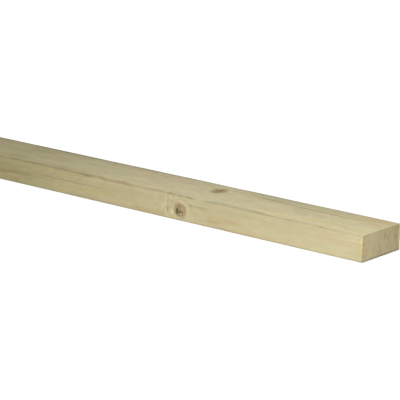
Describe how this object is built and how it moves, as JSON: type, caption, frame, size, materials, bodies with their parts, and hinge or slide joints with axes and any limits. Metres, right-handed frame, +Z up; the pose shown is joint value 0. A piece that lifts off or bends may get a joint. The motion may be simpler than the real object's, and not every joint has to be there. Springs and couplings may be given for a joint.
{
  "type": "timber batten",
  "caption": "Straight sawn softwood batten, pressure treated, rectangular in section, nailed across rafters or studs to carry roof tiles, slates or cladding.",
  "frame": {"origin": "middle of the underside, where the batten's wide face rests on a level floor", "axes": "+X along the length, +Y across the wide face towards the back edge, +Z up through the thickness"},
  "size_m": [1.8, 0.05, 0.022],
  "materials": {
    "treated_softwood": "fine sawn, matt, faintly green from preservative"
  },
  "bodies": {
    "root": {"batten": "treated_softwood"}
  },
  "joints": []
}
